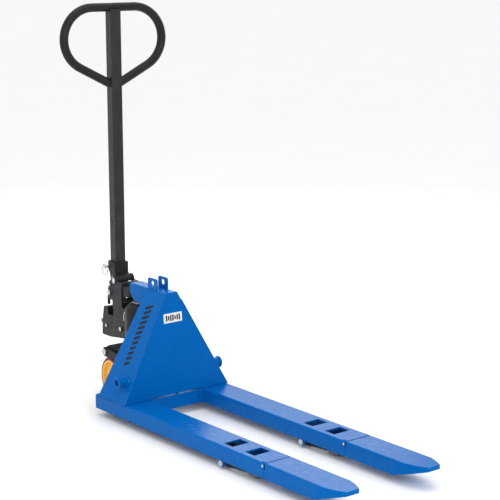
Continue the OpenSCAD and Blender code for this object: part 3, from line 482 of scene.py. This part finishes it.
def bar_tree():
    """Flat bars on loose points, all turned alike; each is a little shorter than the one before."""
    tree = Tree("print_bars", size=("Vector", (0.02, 0.004, 0.0004)), taper=("Float", 0.0),
                turn=("Vector", (0.0, 0.0, 0.0)))
    bar = tree.node("GeometryNodeMeshCube", ("Size", tree.input["size"]))
    index = tree.node("GeometryNodeInputIndex")
    loss = tree.node("ShaderNodeMath", (0, index[0]), (1, tree.input["taper"]), operation="MULTIPLY")
    left = tree.node("ShaderNodeMath", (0, 1.0), (1, loss[0]), operation="SUBTRACT")
    scale = tree.node("ShaderNodeCombineXYZ", ("X", left[0]), ("Y", 1.0), ("Z", 1.0))
    turn = tree.node("FunctionNodeEulerToRotation", ("Euler", tree.input["turn"]))
    bars = tree.node("GeometryNodeInstanceOnPoints", ("Points", tree.input["Geometry"]), ("Instance", bar[0]),
                     ("Rotation", turn[0]), ("Scale", scale[0]))
    real = tree.node("GeometryNodeRealizeInstances", ("Geometry", bars[0]))
    last = tree.node("GeometryNodeSetMaterial", ("Geometry", real[0]), ("Material", BLACK_PRINT))
    tree.group.links.new(last[0], tree.output)
    return tree


# ---- CAD nodes with rounded edges ----
SOFTENED = [
    (BLUE, BLUE_EDGE, 1.2, 3, "right_fork left_fork right_tip left_tip cross_member"),
    (BLUE, BLUE_EDGE, 0.9, 2, "front_plate right_side_plate left_side_plate lifting_lugs pivot_bosses"),
    (BLUE, BLUE_EDGE, 2.2, 4, "top_cap"),
    (BLACK, None, 1.2, 2, "lift_arms push_levers right_push_rod left_push_rod right_bracket left_bracket"),
    (BLACK, None, 2.0, 3, "swivel_plate"),
    (TUBE_BLACK, None, 3.0, 4, "handle_tube"),
    (BLACK, None, 0.8, 2, "handle_loop"),
    (CAST, None, 3.2, 4, "pump_body"),
    (CAST, None, 2.6, 3, "pump_base handle_base"),
    (ZINC, None, 0.6, 2, "foot_bolt bracket_pins tip_pins swivel_bolts base_clip pump_plugs axle_clips "
                         "release_lever release_pin handle_pin press_roller roller_pin lock_pin lock_ring "
                         "piston_seat"),
    (DARK_STEEL, None, 0.6, 2, "torsion_shaft lever_pins right_eye_pin left_eye_pin right_roller_axle "
                               "left_roller_axle right_roller_bush left_roller_bush steer_axle "
                               "tank_gland thrust_bearing"),
    (CHROME, None, 0.8, 2, "piston_rod pump_plunger"),
    (YELLOW, None, 1.2, 3, "right_wheel_hub left_wheel_hub"),
    (TREAD, None, 1.4, 3, "right_tyre left_tyre"),
    (ROLLER, None, 0.9, 2, "right_roller left_roller"),
    (WHITE_FILM, None, 0.3, 2, "load_plate"),
]
for finish, edge, width, segments, names in SOFTENED:
    for node in names.split():
        soften(node, finish, width, edge, segments)


# ---- the plunger's spring ----
def plunger_spring():
    """The coil between the pump's well and the plunger's head; the real one shortens with the stroke, this
    one is built at one fixed length.
    """
    low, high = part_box("plunger_spring")
    wire = 1.4 * MM
    middle = (low + high) / 2
    foot = (middle.x, middle.y, low.z + wire)
    coil = (high.y - low.y) / 2 - wire
    spring = grown("plunger_spring_wire", spring_tree(), "pump", "zinc_steel", coil_radius=coil,
                   wire_radius=wire, height=high.z - low.z - 2 * wire, turns=4.0, foot=foot)
    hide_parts("plunger_spring")
    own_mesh(spring)


plunger_spring()


# ---- the upright's slopes ----
UPRIGHT_FOOT, UPRIGHT_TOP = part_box("right_side_plate")[0].z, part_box("right_side_plate")[1].z
SIDE_FOOT, SIDE_TOP = FORK_SPAN / 2, -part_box("right_side_plate")[1].y
CAP_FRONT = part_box("top_cap")[1].x
SIDE_SLOPE = math.atan2(SIDE_FOOT - SIDE_TOP, UPRIGHT_TOP - UPRIGHT_FOOT)
FRONT_SLOPE = math.atan2(FOOT_X - CAP_FRONT, UPRIGHT_TOP - UPRIGHT_FOOT)


def corner(side, t):
    """The upright's front corner, from its foot (0) to the cap (1)."""
    return Vector((FOOT_X + (CAP_FRONT - FOOT_X) * t, side * (SIDE_FOOT + (SIDE_TOP - SIDE_FOOT) * t),
                   UPRIGHT_FOOT + (UPRIGHT_TOP - UPRIGHT_FOOT) * t))


# ---- welds ----
def welds():
    """Beads up the upright's corners, along its feet, and round the pivot bosses."""
    points, edges = [], []

    def run_bead(path, closed=False):
        first = len(points)
        points.extend(path)
        edges.extend((first + step, first + step + 1) for step in range(len(path) - 1))
        if closed:
            edges.append((first + len(path) - 1, first))

    boss_low, boss_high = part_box("pivot_bosses")
    axle = (boss_low + boss_high) / 2
    radius = (boss_high.z - boss_low.z) / 2 + 0.6 * MM
    for side in (RIGHT, LEFT):
        run_bead([corner(side, 0.0), corner(side, 0.93)])
        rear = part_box("right_side_plate")[0].x
        run_bead([Vector((rear, side * SIDE_FOOT, DECK)), Vector((FOOT_X, side * SIDE_FOOT, DECK))])
        inner = side * (FORK_SPAN / 2 - FORK_WIDTH)
        run_bead([Vector((FOOT_X, inner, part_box("cross_member")[0].z)), Vector((FOOT_X, inner, DECK))])
        ring = []
        for step in range(28):
            angle = 2 * math.pi * step / 28
            z = axle.z + radius * math.sin(angle)
            wall = SIDE_FOOT - (z - UPRIGHT_FOOT) * math.tan(SIDE_SLOPE)
            ring.append(Vector((axle.x + radius * math.cos(angle), side * wall, z)))
        run_bead(ring, closed=True)
    grown("upright_welds", weld_tree(), BODY_OF["front_plate"], "blue_paint", points, edges,
          radius=1.9 * MM, spacing=2.2 * MM)


welds()


# ---- collars of the pivot bosses ----
def boss_collars():
    boss_low, boss_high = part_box("pivot_bosses")
    axle = (boss_low + boss_high) / 2
    radius = (boss_high.z - boss_low.z) / 2 / MM
    shell = bmesh.new()
    for side in (RIGHT, LEFT):
        end = Vector((axle.x, side * boss_high.y, axle.z))
        turned(shell, facing(end, (0, -side, 0)), [
            (radius - 0.5, 0.2), (radius + 2.4, 0.2), (radius + 3.4, 1.4), (radius + 3.4, 6.2),
            (radius + 2.4, 7.4), (radius - 0.5, 8.4), (radius - 0.5, 0.2)], 48)
    from_bmesh("boss_collars", shell, BLUE, BODY_OF["pivot_bosses"])


boss_collars()


# ---- printed marks ----
def plate_marks():
    """A row of plain upright bars on the white plate."""
    low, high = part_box("load_plate")
    middle = (low + high) / 2
    out = Vector((math.cos(FRONT_SLOPE), 0, math.sin(FRONT_SLOPE)))
    face = middle + out * 0.5 * MM
    heights = (1.0, 0.72, 1.0, 1.0, 0.6, 0.86, 1.0)
    for index, tall in enumerate(heights):
        across = (index - (len(heights) - 1) / 2) * 8.2 * MM
        grown("plate_mark_%d" % index, PRINT, BODY_OF["load_plate"], "black_paint",
              [face + Vector((0, across, 0))], size=(0.3 * MM, 5.4 * MM, 19 * MM * tall),
              turn=(0.0, -FRONT_SLOPE, 0.0))


REAR_RETREAT = 21  # the side plate's rear edge moves forward this far, in millimetres, up to the cap


def side_marks():
    """Plain slanted bars up the near side plate."""
    spots = []
    for step in range(12):
        t = 0.86 - 0.047 * step
        spot = corner(RIGHT, t)
        spot.x = (spot.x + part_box("right_side_plate")[0].x + REAR_RETREAT * MM * t) / 2
        out = Vector((0, -math.cos(SIDE_SLOPE), math.sin(SIDE_SLOPE)))
        spots.append(spot + out * 0.15 * MM)
    lean = Matrix.Rotation(math.pi / 2 - SIDE_SLOPE, 3, "X") @ Matrix.Rotation(math.radians(24), 3, "Z")
    grown("side_marks", PRINT, BODY_OF["right_side_plate"], "black_paint", spots,
          size=(36 * MM, 9.5 * MM, 0.3 * MM), taper=0.028, turn=tuple(lean.to_euler()))


PRINT = bar_tree()
plate_marks()
side_marks()


# ---- oil tank and its pipe ----
def oil_tank():
    """A drum with a domed shoulder, open round the ram and its gland."""
    low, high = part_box("oil_tank")
    foot, top = low.z / MM, high.z / MM
    radius = (high.y - low.y) / 2 / MM
    gland_low, gland_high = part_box("tank_gland")
    neck = (gland_high.y - gland_low.y) / 2 / MM + 0.1
    bore = (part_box("piston_rod")[1].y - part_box("piston_rod")[0].y) / 2 / MM + 5
    shelf = gland_low.z / MM + 0.1
    shell = bmesh.new()
    turned(shell, pump_matrix(), [
        (bore, foot), (radius - 3, foot), (radius - 0.8, foot + 1), (radius, foot + 4), (radius, top - 30),
        (radius - 0.7, top - 23), (radius - 3.5, top - 15), (radius - 9, top - 8), (radius - 16, top - 3),
        (radius - 22, top - 0.5), (neck, top), (neck, shelf), (bore, shelf), (bore, foot)], 72)
    tank = from_bmesh("oil_tank_drum", shell, BLACK, BODY_OF["oil_tank"])
    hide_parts("oil_tank")


def swept(shell, path, radius, sides=12):
    """A round tube along a path of points."""
    rings = []
    for index, point in enumerate(path):
        before = path[max(index - 1, 0)]
        after = path[min(index + 1, len(path) - 1)]
        turn = facing(point, after - before)
        rings.append([shell.verts.new(turn @ Vector((radius * math.cos(2 * math.pi * step / sides),
                                                     radius * math.sin(2 * math.pi * step / sides), 0)))
                      for step in range(sides)])
    for low, high in zip(rings, rings[1:]):
        for step in range(sides):
            after = (step + 1) % sides
            shell.faces.new((low[step], low[after], high[after], high[step]))
    shell.faces.new(list(reversed(rings[0])))
    shell.faces.new(rings[-1])


def smooth_path(points, steps=8):
    """A Catmull-Rom curve through the points."""
    path = []
    ends = [points[0] * 2 - points[1]] + points + [points[-1] * 2 - points[-2]]
    for a, b, c, d in zip(ends, ends[1:], ends[2:], ends[3:]):
        for step in range(steps):
            t = step / steps
            path.append(0.5 * (2 * b + (c - a) * t + (2 * a - 5 * b + 4 * c - d) * t ** 2
                               + (3 * b - a - 3 * c + d) * t ** 3))
    return path + [points[-1]]


def tank_pipe():
    """The thin return pipe, up the drum's side and over its shoulder to the gland."""
    route = [(-35, -40, 268), (-36, -40, 284), (-33, -37, 300), (-28, -31, 314), (-21, -25, 325),
             (-15, -18, 330)]
    shell = bmesh.new()
    swept(shell, smooth_path([at_pump(*spot) for spot in route]), 2.0 * MM)
    from_bmesh("tank_pipe", shell, ZINC, BODY_OF["oil_tank"])


oil_tank()
tank_pipe()


# ---- cast details of the socket and the pump ----
def rib_tree():
    """Cast ribs: the same rounded bar on every point, turned with the pump."""
    tree = Tree("cast_ribs", size=("Vector", (0.004, 0.004, 0.02)), turn=("Vector", (0.0, 0.0, 0.0)))
    bar = tree.node("GeometryNodeMeshCube", ("Size", tree.input["size"]))
    turn = tree.node("FunctionNodeEulerToRotation", ("Euler", tree.input["turn"]))
    bars = tree.node("GeometryNodeInstanceOnPoints", ("Points", tree.input["Geometry"]), ("Instance", bar[0]),
                     ("Rotation", turn[0]))
    real = tree.node("GeometryNodeRealizeInstances", ("Geometry", bars[0]))
    last = tree.node("GeometryNodeSetMaterial", ("Geometry", real[0]), ("Material", CAST))
    tree.group.links.new(last[0], tree.output)
    return tree


def rounded(piece, width):
    bevel = piece.modifiers.new("rounded_edges", "BEVEL")
    bevel.width = width * MM
    bevel.segments = 3
    bevel.limit_method = "ANGLE"
    bevel.angle_limit = CREASE
    weigh_normals(piece)


RIBS = rib_tree()
PUMP_TURN = (0.0, 0.0, math.atan2(FORWARD.y, FORWARD.x))


def ribs(name, spots, size, body):
    """Cast ribs at pump places, with sizes in millimetres."""
    piece = grown(name, RIBS, body, "black_casting", [at_pump(*spot) for spot in spots],
                  size=tuple(length * MM for length in size), turn=PUMP_TURN)
    rounded(piece, 1.1)


SOCKET_HALF = 23.5  # from the tube's middle to the middle of a rib or lip on the socket's wall


def cast_details():
    """Ribs down the socket's front, and a lip along three sides of its mouth."""
    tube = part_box("handle_tube")
    socket_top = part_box("handle_base")[1].z / MM
    middle = Vector(((tube[0].x + tube[1].x) / 2, (tube[0].y + tube[1].y) / 2, 0))
    tube_x = (middle - at_pump(0, 0, 0)).dot(FORWARD) / MM
    half = SOCKET_HALF
    ribs("socket_front_ribs", [(tube_x + half, -14, socket_top - 17), (tube_x + half, 0, socket_top - 17),
                               (tube_x + half, 14, socket_top - 17)], (4.5, 5, 30), "handle")
    ribs("socket_lip", [(tube_x + half, 0, socket_top - 3)], (5, 44, 5), "handle")
    ribs("socket_side_lips", [(tube_x, -half, socket_top - 3), (tube_x, half, socket_top - 3)],
         (44, 5, 5), "handle")


cast_details()


# ---- floor, light and camera ----
def stage():
    floor = bpy.data.meshes.new("floor")
    half = 30.0
    floor.from_pydata([(-half, -half, 0), (half, -half, 0), (half, half, 0), (-half, half, 0)], [],
                      [(0, 1, 2, 3)])
    paper = Finish("pale_paper")
    paper.colour(paper.mix(paper.noise(2, 2), rgb(0.93, 0.93, 0.93), rgb(0.96, 0.96, 0.96)))
    paper.set(Roughness=0.9)
    floor.materials.append(paper.material)
    plane = bpy.data.objects.new("floor", floor)
    bpy.context.scene.collection.objects.link(plane)


def softbox(name, place, target, width, height, power):
    light = bpy.data.lights.new(name, "AREA")
    light.shape = "RECTANGLE"
    light.size = width
    light.size_y = height
    light.energy = power
    lamp = bpy.data.objects.new(name, light)
    lamp.matrix_world = facing(Vector(place), Vector(place) - Vector(target))
    bpy.context.scene.collection.objects.link(lamp)


VIEW_AZIMUTH = math.radians(50.85)
VIEW_ELEVATION = math.radians(11.69)
VIEW_DISTANCE = 5.0374
VIEW_TARGET = Vector((-0.1632, 0.2988, 0.5173))
VIEW_LENS = 114.4
VIEW_SHIFT = -0.0504


def camera():
    lens = bpy.data.cameras.new("camera")
    lens.lens = VIEW_LENS
    lens.sensor_width = 36.0
    lens.shift_x = VIEW_SHIFT
    lens.clip_end = 100.0
    back = Vector((math.sin(VIEW_AZIMUTH) * math.cos(VIEW_ELEVATION),
                   -math.cos(VIEW_AZIMUTH) * math.cos(VIEW_ELEVATION), math.sin(VIEW_ELEVATION)))
    eye = bpy.data.objects.new("camera", lens)
    eye.matrix_world = Matrix.Translation(VIEW_TARGET + back * VIEW_DISTANCE) @ \
        back.to_track_quat("Z", "Y").to_matrix().to_4x4()
    bpy.context.scene.collection.objects.link(eye)
    bpy.context.scene.camera = eye


def daylight():
    world = bpy.data.worlds.new("studio")
    world.use_nodes = True
    back = world.node_tree.nodes["Background"]
    back.inputs["Color"].default_value = rgb(0.98, 0.99, 1.0)
    back.inputs["Strength"].default_value = 1.0
    bpy.context.scene.world = world


def plain_tones():
    """Shows the finishes' colours as they are, without a film curve."""
    bpy.context.scene.view_settings.view_transform = "Standard"


middle = (Vector(CAD_BOX[0]) + Vector(CAD_BOX[1])) / 2
stage()
daylight()
plain_tones()
softbox("overhead", (0.2, 0.0, 3.6), middle, 3.0, 3.0, 34)
softbox("key", (3.4, -1.6, 2.0), middle, 1.6, 1.6, 30)
softbox("rim", (-2.6, 2.2, 2.4), middle, 1.6, 2.4, 24)
camera()
